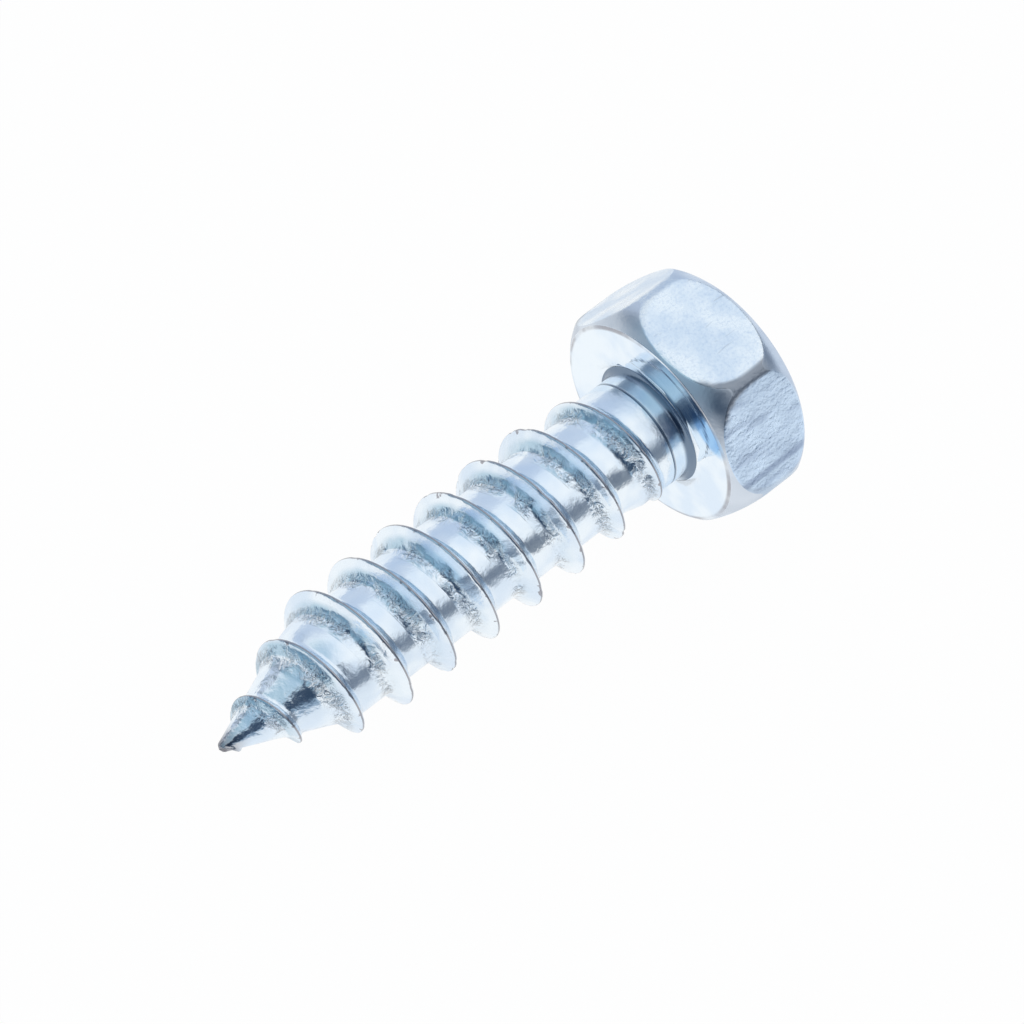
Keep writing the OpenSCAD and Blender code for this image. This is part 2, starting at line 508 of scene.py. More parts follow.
@dataclass(frozen=True)
class FacedZinc(ZincFinish):
    """Zinc over the bearing face, which the heading die pressed flat and bright.

    It is almost a mirror, with faint rings where the steel flowed outwards. The last drop of the
    passivation dried sky blue at one side of the rim, which is rubbed grey-brown in places.
    """

    name: str = "bright_zinc_on_pressed_steel"
    roughness: float = 0.06
    relief_mm: float = 0.002
    rings_per_mm: float = 9.0
    rub_patch_mm: float = 1.3
    drop: str = "9ECBF3"
    drop_spot: tuple[float, float, float] = (-1.62, -1.62, 0.0)
    drop_reach: tuple[float, float, float] = (0.75, 0.38, 1.0)
    drop_turn: float = -57.0

    def away(self, tree: bpy.types.NodeTree, at: Places) -> Source:
        """Adds the distance from the axis, in millimetres."""
        flat = add_node(
            tree, "ShaderNodeVectorMath", {0: at["own"], 1: Vector((1, 1, 0))},
            operation="MULTIPLY")
        return add_node(tree, "ShaderNodeVectorMath", {0: flat}, operation="LENGTH").outputs["Value"]

    def relief(self, tree: bpy.types.NodeTree, at: Places) -> Source:
        """Adds flow rings, which depend on the distance from the axis alone.

        Args:
            tree: The material's tree.
            at: What the height can follow.

        Returns:
            The height.
        """
        return add_node(
            tree, "ShaderNodeTexNoise",
            {"W": self.away(tree, at), "Scale": self.rings_per_mm, "Detail": 1.0},
            noise_dimensions="1D")

    def marks(self, tree: bpy.types.NodeTree, at: Places) -> Marks:
        """Adds the dried drop, and turns the rounded rim grey-brown in places.

        Args:
            tree: The material's tree.
            at: What the marks can follow.

        Returns:
            The share and the colour of each mark, in order.
        """
        oval = add_node(
            tree, "ShaderNodeMapping",
            {"Vector": at["own"], "Location": self.drop_spot, "Scale": self.drop_reach,
             "Rotation": (0, 0, math.radians(self.drop_turn))},
            vector_type="TEXTURE")
        off = add_node(tree, "ShaderNodeVectorMath", {0: oval}, operation="LENGTH").outputs["Value"]
        dried = add_node(
            tree, "ShaderNodeMapRange",
            {"Value": off, "From Min": 0.6, "From Max": 1.05, "To Min": 0.9, "To Max": 0.0}, **SOFT)
        rim = add_node(
            tree, "ShaderNodeMapRange",
            {"Value": self.away(tree, at), "From Min": 2.49, "From Max": 2.56,
             "To Min": 0.0, "To Max": 0.8},
            **SOFT)
        spots = add_node(
            tree, "ShaderNodeTexNoise",
            {"Vector": at["place"], "Scale": 1 / (self.rub_patch_mm * MM), "Detail": 3.0})
        some = add_node(
            tree, "ShaderNodeMapRange",
            {"Value": spots, "From Min": 0.4, "From Max": 0.6, "To Min": 0.1, "To Max": 0.9}, **SOFT)
        rubbed = add_node(tree, "ShaderNodeMath", {0: rim, 1: some}, operation="MULTIPLY")
        return [(dried, self.drop), (rubbed, self.worn)]


@dataclass(frozen=True)
class StruckZinc(ZincFinish):
    """Zinc over the rounded corners, the chamfers and the top, which the punch struck.

    The steel is a little uneven there, so what it mirrors is blurred. No tool trims it, so it
    keeps the matt surface of the strike, and it is grey-brown where a corner was dragged. The
    upper roundings carry a painted blue-grey reflection tone.
    """

    name: str = "zinc_on_struck_steel"
    roughness: float = 0.36
    relief_mm: float = 0.0035
    stored: tuple[str, ...] = ("corner",)
    worn: str = "DCE5F0"
    # Painted reflection: blue-grey tone of the upper roundings
    upper: str = "C6D7EC"
    dragged: str = "8A919C"

    def marks(self, tree: bpy.types.NodeTree, at: Places) -> Marks:
        """Adds a greyer tone on the lower roundings, a painted blue-grey reflection tone on the upper
        roundings, and the dragged corners.

        Args:
            tree: The material's tree.
            at: What the marks can follow.

        Returns:
            The share and the colour of each mark, in order.
        """
        level = add_node(tree, "ShaderNodeSeparateXYZ", {0: at["own"]}).outputs["Z"]
        # Start and end of each ramp along the axis in millimetres, and its share at both
        spans = ((0.9, 1.5, 1.0, 0.0), (1.5, 1.9, 0.0, 1.0), (0.5, 0.95, 0.15, 1.0), (1.6, 2.1, 0.8, 0.0))
        low, high, lower, upper = (
            add_node(
                tree, "ShaderNodeMapRange",
                {"Value": level, "From Min": start, "From Max": end, "To Min": first, "To Max": last},
                **SOFT)
            for start, end, first, last in spans)
        both = add_node(tree, "ShaderNodeMath", {0: lower, 1: upper}, operation="MULTIPLY")
        rubbed = add_node(tree, "ShaderNodeMath", {0: at["corner"], 1: both}, operation="MULTIPLY")
        return [(low, self.worn), (high, self.upper), (rubbed, self.dragged)]


@dataclass(frozen=True)
class TrimmedZinc(ZincFinish):
    """Zinc over the sides of the head, which a die trimmed to a hexagon.

    The cut tears the steel finely, so the flats look matt and grainy, with faint bands along the
    stroke and a few scratches. One flat has a painted bluer reflection tone, with a painted dark
    reflection line across it.
    die's own corners drag, stay grey-brown.
    """

    name: str = "zinc_on_trimmed_steel"
    roughness: float = 0.3
    relief_mm: float = 0.014
    stored: tuple[str, ...] = ("corner",)
    worn: str = "8A919C"
    pit: str = "A9C2E4"
    # Painted reflection: bluer tone of one flat
    flat_reflection_tint: str = "D6EAFF"
    # Faint bands along the stroke, and the painted dark reflection line
    band_and_dark_line_colour: str = "8698B8"
    grain_mm: float = 0.1
    pit_mm: float = 0.07
    band_mm: float = 0.3
    tinted_flat_turn: float = 240.0
    dark_line_across_mm: float = 0.95

    def outward(self, tree: bpy.types.NodeTree, at: Places, turn_deg: float) -> Source:
        """Adds how far a place lies from the axis in a direction across it.

        Args:
            tree: The material's tree.
            at: What the distance can follow.
            turn_deg: The direction, in degrees from the flat that lies down.

        Returns:
            The distance in millimetres.
        """
        turn = math.radians(turn_deg)
        way = Vector((math.cos(turn), math.sin(turn), 0))
        dot = add_node(tree, "ShaderNodeVectorMath", {0: at["own"], 1: way}, operation="DOT_PRODUCT")
        return dot.outputs["Value"]

    def tinted_flat(self, tree: bpy.types.NodeTree, at: Places) -> Source:
        """Adds 1 on the flat with the painted bluer reflection tone and the bands, and 0 elsewhere."""
        out = self.outward(tree, at, self.tinted_flat_turn)
        return add_node(tree, "ShaderNodeMapRange", {"Value": out, "From Min": 2.5, "From Max": 2.6}, **SOFT)

    def streaks(self, tree: bpy.types.NodeTree, at: Places) -> Source:
        """Adds noise drawn out along the axis, which is the way of the stroke.

        Args:
            tree: The material's tree.
            at: What the noise can follow.

        Returns:
            The noise on the tinted flat, and 0 elsewhere.
        """
        drawn = add_node(
            tree, "ShaderNodeVectorMath", {0: at["own"], 1: Vector((1, 1, 0.22))},
            operation="MULTIPLY")
        bands = add_node(
            tree, "ShaderNodeTexNoise", {"Vector": drawn, "Scale": 1 / self.band_mm, "Detail": 3.0})
        return add_node(tree, "ShaderNodeMath", {0: bands, 1: self.tinted_flat(tree, at)}, operation="MULTIPLY")

    def relief(self, tree: bpy.types.NodeTree, at: Places) -> Source:
        """Adds the fine grain of the cut steel and its bands.

        Args:
            tree: The material's tree.
            at: What the height can follow.

        Returns:
            The height.
        """
        grain = super().relief(tree, at)
        return add_node(
            tree, "ShaderNodeMath", {0: self.streaks(tree, at), 1: 1.2, 2: grain},
            operation="MULTIPLY_ADD")

    def marks(self, tree: bpy.types.NodeTree, at: Places) -> Marks:
        """Adds the painted bluer reflection tone of one flat, faint bands, pits and scratches, and the
        painted dark reflection line and the corners more darkly.

        Args:
            tree: The material's tree.
            at: What the marks can follow.

        Returns:
            The share and the colour of each mark, in order.
        """
        bands = add_node(
            tree, "ShaderNodeMapRange",
            {"Value": self.streaks(tree, at), "From Min": 0.5, "From Max": 0.66,
             "To Min": 0.0, "To Max": 0.35},
            **SOFT)
        pits = add_node(
            tree, "ShaderNodeTexNoise",
            {"Vector": at["place"], "Scale": 1 / (self.pit_mm * MM), "Detail": 2.0})
        pits = add_node(
            tree, "ShaderNodeMapRange",
            {"Value": pits, "From Min": 0.42, "From Max": 0.75, "To Min": 0.0, "To Max": 0.25}, **SOFT)
        # Nine to a millimetre across the stroke, and drawn out along it
        thin = add_node(
            tree, "ShaderNodeVectorMath", {0: at["own"], 1: Vector((9, 9, 1.2))},
            operation="MULTIPLY")
        lines = add_node(tree, "ShaderNodeTexNoise", {"Vector": thin, "Scale": 1.0, "Distortion": 0.6})
        scratches = add_node(
            tree, "ShaderNodeMapRange",
            {"Value": lines, "From Min": 0.68, "From Max": 0.73, "To Min": 0.0, "To Max": 0.25}, **SOFT)
        # Painted dark reflection: a line across the tinted flat
        beside = add_node(
            tree, "ShaderNodeMath",
            {0: self.outward(tree, at, self.tinted_flat_turn + 90), 1: self.dark_line_across_mm},
            operation="SUBTRACT")
        beside = add_node(tree, "ShaderNodeMath", {0: beside}, operation="ABSOLUTE")
        dark_reflection_line = add_node(
            tree, "ShaderNodeMapRange",
            {"Value": beside, "From Min": 0.02, "From Max": 0.14, "To Min": 0.6, "To Max": 0.0}, **SOFT)
        dark_reflection_line = add_node(
            tree, "ShaderNodeMath", {0: dark_reflection_line, 1: self.tinted_flat(tree, at)}, operation="MULTIPLY")
        return [
            (self.tinted_flat(tree, at), self.flat_reflection_tint),
            (bands, self.band_and_dark_line_colour),
            (pits, self.pit),
            (scratches, self.worn),
            (dark_reflection_line, self.band_and_dark_line_colour),
            (at["corner"], self.worn),
        ]


@dataclass
class ThreadedShank:
    """The core, the rolled thread and the point, as one skin along a helix."""

    sizes: Sizes = SIZES
    steps: int = RING_STEPS
    places: int = 27
    first_turn: int = -11
    last_turn: int = 1
    # Shares of the way from a crest to the middle of the gap, where the points' spacing changes
    stops: tuple[float, ...] = (0.0, 0.22, 0.48, 0.78, 1.0)
    # Lengths over which one form runs softly into the next
    point_soft_mm: float = 0.03
    shoulder_soft_mm: float = 0.2
    neck_soft_mm: float = 0.04
    crest_soft_mm: float = 0.05
    foot_soft_mm: float = 0.16
    seam_fade_mm: float = 0.2
    end_fade_mm: float = 0.1
    # Knocks in one turn of a crest, and the share of its height that the deepest one leaves
    knocks: float = 23.0
    knock_leaves: float = 0.92

    def inputs(self) -> dict[str, float]:
        """Gives the values of the tree's named inputs.

        Returns:
            Lengths in metres and angles in radians, by the input's name.
        """
        s = self.sizes
        return {
            "Length": s.screw_len * MM,
            "Pitch": s.pitch * MM,
            "Thread Turn": math.radians(s.thread_turn),
            "Core Radius": s.core_d / 2 * MM,
            "Crest Radius": s.thread_d / 2 * MM,
            "Crest Land": s.crest_land / 2 * MM,
            "Flank Slope": math.tan(math.radians(s.flank_angle / 2)),
            "Point Slope": math.tan(math.radians(s.core_point / 2)),
            "Crest Slope": math.tan(math.radians(s.crest_point / 2)),
            "Tip Radius": s.tip_d / 2 * MM,
            "Dome Slope": s.tip_d / 2 / s.tip_dome,
            "Crest Lead": s.crest_lead * MM,
            "Thread Start": s.thread_start * MM,
            "Thread End": s.thread_end * MM,
            "Full Depth": s.full_depth * MM,
            "Neck Radius": s.neck_d / 2 * MM,
            "Neck Length": s.neck_len * MM,
            "Neck Slope": math.tan(math.radians(s.neck_cone)),
            "Seam Height": SEAM_Z * MM,
        }

    def core_at(self, tree: bpy.types.NodeTree, sizes: bpy.types.Node, z: Source) -> Source:
        """Adds the radius of the bare core, with its cone, round tip and shoulder.

        Args:
            tree: The tree that gets the nodes.
            sizes: The group input.
            z: Height above the bearing face.

        Returns:
            The radius.
        """
        up = add_node(tree, "ShaderNodeMath", {0: z, 1: sizes.outputs["Length"]}, operation="ADD")
        up = add_node(tree, "ShaderNodeMath", {0: up, 1: 0.0}, operation="MAXIMUM")
        cone = add_node(
            tree, "ShaderNodeMath",
            {0: up, 1: sizes.outputs["Point Slope"], 2: sizes.outputs["Tip Radius"]},
            operation="MULTIPLY_ADD")
        dome = add_node(tree, "ShaderNodeMath", {0: up, 1: sizes.outputs["Dome Slope"]}, operation="MULTIPLY")
        point = add_node(
            tree, "ShaderNodeMath", {0: dome, 1: cone, 2: self.point_soft_mm * MM}, operation="SMOOTH_MIN")
        return add_node(
            tree, "ShaderNodeMath",
            {0: point, 1: sizes.outputs["Core Radius"], 2: self.shoulder_soft_mm * MM},
            operation="SMOOTH_MIN")

    def body_at(self, tree: bpy.types.NodeTree, sizes: bpy.types.Node, z: Source) -> Source:
        """Adds the radius without the thread: the core, or the neck where that is wider.

        Args:
            tree: The tree that gets the nodes.
            sizes: The group input.
            z: Height above the bearing face.

        Returns:
            The radius.
        """
        core = self.core_at(tree, sizes, z)
        # The neck is plain as far as its length, then a slow cone down into the core
        below = add_node(tree, "ShaderNodeMath", {0: z, 1: sizes.outputs["Neck Length"]}, operation="ADD")
        below = add_node(tree, "ShaderNodeMath", {0: below, 1: 0.0}, operation="MINIMUM")
        neck = add_node(
            tree, "ShaderNodeMath",
            {0: below, 1: sizes.outputs["Neck Slope"], 2: sizes.outputs["Neck Radius"]},
            operation="MULTIPLY_ADD")
        return add_node(
            tree, "ShaderNodeMath", {0: core, 1: neck, 2: self.neck_soft_mm * MM}, operation="SMOOTH_MAX")

    def crest_rise(
        self, tree: bpy.types.NodeTree, sizes: bpy.types.Node, z: Source, core: Source,
    ) -> Source:
        """Adds the height of the crest above the core, from the point to the run-out.

        Args:
            tree: The tree that gets the nodes.
            sizes: The group input.
            z: Height of the crest's middle.
            core: Radius of the core there.

        Returns:
            The height.
        """
        # Share of the depth that is left towards the head: the square root of a straight ramp
        down = add_node(tree, "ShaderNodeMath", {0: z, 1: -1.0}, operation="MULTIPLY")
        left = add_node(
            tree, "ShaderNodeMapRange",
            {"Value": down, "From Min": sizes.outputs["Thread End"],
             "From Max": sizes.outputs["Full Depth"]})
        left = add_node(tree, "ShaderNodeMath", {0: left}, operation="SQRT")
        depth = add_node(
            tree, "ShaderNodeMath", {0: sizes.outputs["Crest Radius"], 1: sizes.outputs["Core Radius"]},
            operation="SUBTRACT")
        full = add_node(tree, "ShaderNodeMath", {0: depth, 1: left}, operation="MULTIPLY")
        # Cone on which the crests of the point lie
        up = add_node(tree, "ShaderNodeMath", {0: z, 1: sizes.outputs["Length"]}, operation="ADD")
        past = add_node(tree, "ShaderNodeMath", {0: up, 1: sizes.outputs["Crest Lead"]}, operation="ADD")
        cone = add_node(
            tree, "ShaderNodeMath", {0: past, 1: sizes.outputs["Crest Slope"]}, operation="MULTIPLY")
        over = add_node(tree, "ShaderNodeMath", {0: cone, 1: core}, operation="SUBTRACT")
        grow = add_node(
            tree, "ShaderNodeMapRange",
            {"Value": up, "From Min": 0.0, "From Max": sizes.outputs["Thread Start"]})
        over = add_node(tree, "ShaderNodeMath", {0: over, 1: grow}, operation="MULTIPLY")
        return add_node(
            tree, "ShaderNodeMath", {0: full, 1: over, 2: self.point_soft_mm * MM}, operation="SMOOTH_MIN")

    def knocked(self, tree: bpy.types.NodeTree, turn: Source, rise: Source) -> Source:
        """Adds the little height that the crests lose in places, where screws knock together.

        Args:
            tree: The tree that gets the nodes.
            turn: Turns from the first crest.
            rise: Height of the whole crest above the core.

        Returns:
            The height that is left.
        """
        along = add_node(tree, "ShaderNodeMath", {0: turn, 1: self.knocks}, operation="MULTIPLY")
        noise = add_node(
            tree, "ShaderNodeTexNoise", {"W": along, "Scale": 1.0, "Detail": 2.0}, noise_dimensions="1D")
        left = add_node(
            tree, "ShaderNodeMapRange",
            {"Value": noise, "From Min": 0.55, "From Max": 0.8, "To Min": 1.0, "To Max": self.knock_leaves})
        return add_node(tree, "ShaderNodeMath", {0: rise, 1: left}, operation="MULTIPLY")

    def across(
        self, tree: bpy.types.NodeTree, sizes: bpy.types.Node, share: Source, foot: Source,
    ) -> Source:
        """Adds the distance from the crest's middle, with the points close where the form turns.

        Args:
            tree: The tree that gets the nodes.
            sizes: The group input.
            share: Share of the way from the crest to the middle of the gap.
            foot: Half the width of the thread's foot.

        Returns:
            The distance.
        """
        half = add_node(tree, "ShaderNodeMath", {0: sizes.outputs["Pitch"], 1: 0.5}, operation="MULTIPLY")
        land = add_node(
            tree, "ShaderNodeMath", {0: sizes.outputs["Crest Land"], 1: 1.6}, operation="MULTIPLY")
        # The fillet lies between 0.11 mm inside the foot and 0.13 mm outside it
        near = add_node(tree, "ShaderNodeMath", {0: foot, 1: -0.11 * MM}, operation="ADD")
        near = add_node(tree, "ShaderNodeMath", {0: near, 1: land}, operation="MAXIMUM")
        far = add_node(tree, "ShaderNodeMath", {0: near, 1: 0.24 * MM}, operation="ADD")
        reach = (0.0, land, near, far, half)
        total: Source | float = 0.0
        for start, end, inner, outer in zip(self.stops, self.stops[1:], reach, reach[1:]):
            part = add_node(tree, "ShaderNodeMapRange", {"Value": share, "From Min": start, "From Max": end})
            length = add_node(tree, "ShaderNodeMath", {0: outer, 1: inner}, operation="SUBTRACT")
            total = add_node(
                tree, "ShaderNodeMath", {0: part, 1: length, 2: total}, operation="MULTIPLY_ADD")
        return total

    def above_body(
        self, tree: bpy.types.NodeTree, sizes: bpy.types.Node, z: Source, body: Source, thread: Source,
    ) -> Source:
        """Adds how far the thread stands above the body, with a fillet at its foot.

        Args:
            tree: The tree that gets the nodes.
            sizes: The group input.
            z: Height above the bearing face.
            body: Radius without the thread.
            thread: Radius of the flank and the crest.

        Returns:
            The distance, which is 0 at the seam and at the very end of the point.
        """
        hollow = add_node(tree, "ShaderNodeMath", {0: body, 1: 0.3}, operation="MULTIPLY")
        hollow = add_node(
            tree, "ShaderNodeMath", {0: hollow, 1: self.foot_soft_mm * MM}, operation="MINIMUM")
        radius = add_node(tree, "ShaderNodeMath", {0: body, 1: thread, 2: hollow}, operation="SMOOTH_MAX")
        above = add_node(tree, "ShaderNodeMath", {0: radius, 1: body}, operation="SUBTRACT")
        under_seam = add_node(
            tree, "ShaderNodeMath", {0: sizes.outputs["Seam Height"], 1: z}, operation="SUBTRACT")
        fade = add_node(
            tree, "ShaderNodeMapRange",
            {"Value": under_seam, "From Min": 0.0, "From Max": self.seam_fade_mm * MM}, **SOFT)
        low = add_node(tree, "ShaderNodeMath", {0: sizes.outputs["Length"], 1: -1.0}, operation="MULTIPLY")
        from_end = add_node(tree, "ShaderNodeMath", {0: z, 1: low}, operation="SUBTRACT")
        grow = add_node(
            tree, "ShaderNodeMapRange",
            {"Value": from_end, "From Min": 0.0, "From Max": self.end_fade_mm * MM})
        kept = add_node(tree, "ShaderNodeMath", {0: fade, 1: grow}, operation="MULTIPLY")
        return add_node(tree, "ShaderNodeMath", {0: above, 1: kept}, operation="MULTIPLY")

    def noted(
        self, tree: bpy.types.NodeTree, sizes: bpy.types.Node, mesh: Source, side: Source,
        run: Source, off: Source, above: Source,
    ) -> Source:
        """Stores on the mesh what the finish follows, in millimetres.

        Args:
            tree: The tree that gets the nodes.
            sizes: The group input.
            mesh: The mesh that gets the values.
            side: Place across the thread, less than 0 towards the point.
            run: Distance from the foot inwards.
            off: Distance from the crest's middle.
            above: How far the thread stands above the body.

        Returns:
            The mesh with foot_gap, which is far below 0 on the flank that faces the head, and
            with crest_off, which grows where the thread has run out.
        """
        faces_point = add_node(tree, "ShaderNodeMath", {0: side, 1: 0.0}, operation="LESS_THAN")
        up = add_node(tree, "ShaderNodeMath", {0: run, 1: 1 / MM, 2: 1.0}, operation="MULTIPLY_ADD")
        up = add_node(tree, "ShaderNodeMath", {0: up, 1: faces_point, 2: -1.0}, operation="MULTIPLY_ADD")
        depth = add_node(
            tree, "ShaderNodeMath", {0: sizes.outputs["Crest Radius"], 1: sizes.outputs["Core Radius"]},
            operation="SUBTRACT")
        portion = add_node(tree, "ShaderNodeMath", {0: above, 1: depth}, operation="DIVIDE")
        faded = add_node(
            tree, "ShaderNodeMapRange",
            {"Value": portion, "From Min": 0.02, "From Max": 0.2, "To Min": 0.2, "To Max": 0.0})
        from_crest = add_node(tree, "ShaderNodeMath", {0: off, 1: 1 / MM}, operation="MULTIPLY")
        from_crest = add_node(tree, "ShaderNodeMath", {0: from_crest, 1: faded}, operation="ADD")
        for name, value in (("foot_gap", up), ("crest_off", from_crest)):
            mesh = add_node(
                tree, "GeometryNodeStoreNamedAttribute", {"Geometry": mesh, "Name": name, "Value": value},
                data_type="FLOAT", domain="POINT")
        return mesh

    def tree(self, material: bpy.types.Material) -> bpy.types.NodeTree:
        """Builds the tree that lays the skin.

        Args:
            material: The finish of the skin.

        Returns:
            The tree.
        """
        tree = bpy.data.node_groups.new("rolled_thread", "GeometryNodeTree")
        tree.interface.new_socket("Geometry", in_out="INPUT", socket_type="NodeSocketGeometry")
        for name in self.inputs():
            tree.interface.new_socket(name, in_out="INPUT", socket_type="NodeSocketFloat")
        tree.interface.new_socket("Geometry", in_out="OUTPUT", socket_type="NodeSocketGeometry")
        sizes = add_node(tree, "NodeGroupInput")
        turns = self.last_turn - self.first_turn
        # A grid of one unit: X runs across the thread and Y along it
        grid = add_node(
            tree, "GeometryNodeMeshGrid",
            {"Size X": 1.0, "Size Y": 1.0, "Vertices X": self.places, "Vertices Y": turns * self.steps + 1})
        cell = add_node(tree, "ShaderNodeSeparateXYZ", {0: add_node(tree, "GeometryNodeInputPosition")})
        # Turns from the first crest, and the crest's own height and angle
        turn = add_node(
            tree, "ShaderNodeMath",
            {0: cell.outputs["Y"], 1: float(turns), 2: turns / 2 + self.first_turn},
            operation="MULTIPLY_ADD")
        angle = add_node(tree, "ShaderNodeMath", {0: turn, 1: math.tau}, operation="MULTIPLY")
        start = add_node(
            tree, "ShaderNodeMath", {0: sizes.outputs["Thread Turn"], 1: math.tau}, operation="DIVIDE")
        lag = add_node(tree, "ShaderNodeMath", {0: turn, 1: start}, operation="SUBTRACT")
        crest_z = add_node(tree, "ShaderNodeMath", {0: lag, 1: sizes.outputs["Pitch"]}, operation="MULTIPLY")
        core = self.core_at(tree, sizes, crest_z)
        rise = self.knocked(tree, turn, self.crest_rise(tree, sizes, crest_z, core))
        least = add_node(tree, "ShaderNodeMath", {0: rise, 1: 0.02 * MM}, operation="MAXIMUM")
        foot = add_node(
            tree, "ShaderNodeMath",
            {0: least, 1: sizes.outputs["Flank Slope"], 2: sizes.outputs["Crest Land"]},
            operation="MULTIPLY_ADD")
        # Place across the thread, from the middle of one gap to the middle of the next
        side = add_node(tree, "ShaderNodeMath", {0: cell.outputs["X"], 1: 2.0}, operation="MULTIPLY")
        share = add_node(tree, "ShaderNodeMath", {0: side}, operation="ABSOLUTE")
        off = self.across(tree, sizes, share, foot)
        sign = add_node(tree, "ShaderNodeMath", {0: side}, operation="SIGN")
        z = add_node(tree, "ShaderNodeMath", {0: off, 1: sign, 2: crest_z}, operation="MULTIPLY_ADD")
        low = add_node(tree, "ShaderNodeMath", {0: sizes.outputs["Length"], 1: -1.0}, operation="MULTIPLY")
        z = add_node(tree, "ShaderNodeMath", {0: z, 1: low}, operation="MAXIMUM")
        z = add_node(tree, "ShaderNodeMath", {0: z, 1: sizes.outputs["Seam Height"]}, operation="MINIMUM")
        body = self.body_at(tree, sizes, z)
        # Flank, with the crest rounded over it
        run = add_node(tree, "ShaderNodeMath", {0: foot, 1: off}, operation="SUBTRACT")
        flank = add_node(
            tree, "ShaderNodeMath", {0: run, 1: sizes.outputs["Flank Slope"]}, operation="DIVIDE")
        ridge = add_node(
            tree, "ShaderNodeMath", {0: flank, 1: rise, 2: self.crest_soft_mm * MM}, operation="SMOOTH_MIN")
        thread = add_node(tree, "ShaderNodeMath", {0: core, 1: ridge}, operation="ADD")
        above = self.above_body(tree, sizes, z, body, thread)
        radius = add_node(tree, "ShaderNodeMath", {0: body, 1: above}, operation="ADD")
        x, y = (
            add_node(
                tree, "ShaderNodeMath",
                {0: radius, 1: add_node(tree, "ShaderNodeMath", {0: angle}, operation=part)},
                operation="MULTIPLY")
            for part in ("COSINE", "SINE"))
        spot = add_node(tree, "ShaderNodeCombineXYZ", {"X": x, "Y": y, "Z": z})
        noted = self.noted(tree, sizes, grid, side, run, off, above)
        laid = add_node(tree, "GeometryNodeSetPosition", {"Geometry": noted, "Position": spot})
        joined = add_node(
            tree, "GeometryNodeMergeByDistance", {"Geometry": laid, "Distance": JOIN_MM * MM})
        smooth = add_node(tree, "GeometryNodeSetShadeSmooth", {"Geometry": joined})
        real = add_node(tree, "GeometryNodeRealizeInstances", {"Geometry": smooth})
        dressed = add_node(tree, "GeometryNodeSetMaterial", {"Geometry": real, "Material": material})
        add_node(tree, "NodeGroupOutput", {"Geometry": dressed})
        return tree

    def mesh(self, material: bpy.types.Material) -> bpy.types.Mesh:
        """Lays the skin and takes it as a plain mesh in the screw's own frame.

        Args:
            material: The finish of the skin.

        Returns:
            The mesh.
        """
        tree = self.tree(material)
        holder = bpy.data.objects.new("shank_holder", bpy.data.meshes.new("shank_holder"))
        bpy.context.scene.collection.objects.link(holder)
        modifier = holder.modifiers.new("thread", "NODES")
        modifier.node_group = tree
        values = self.inputs()
        for item in tree.interface.items_tree:
            if item.item_type == "SOCKET" and item.in_out == "INPUT" and item.name in values:
                modifier[item.identifier] = values[item.name]
        bpy.context.view_layer.update()
        shape = holder.evaluated_get(bpy.context.evaluated_depsgraph_get())
        plain = bpy.data.meshes.new_from_object(shape)
        bpy.data.objects.remove(holder, do_unlink=True)
        LOG.info("shank: %d faces", len(plain.polygons))
        return plain


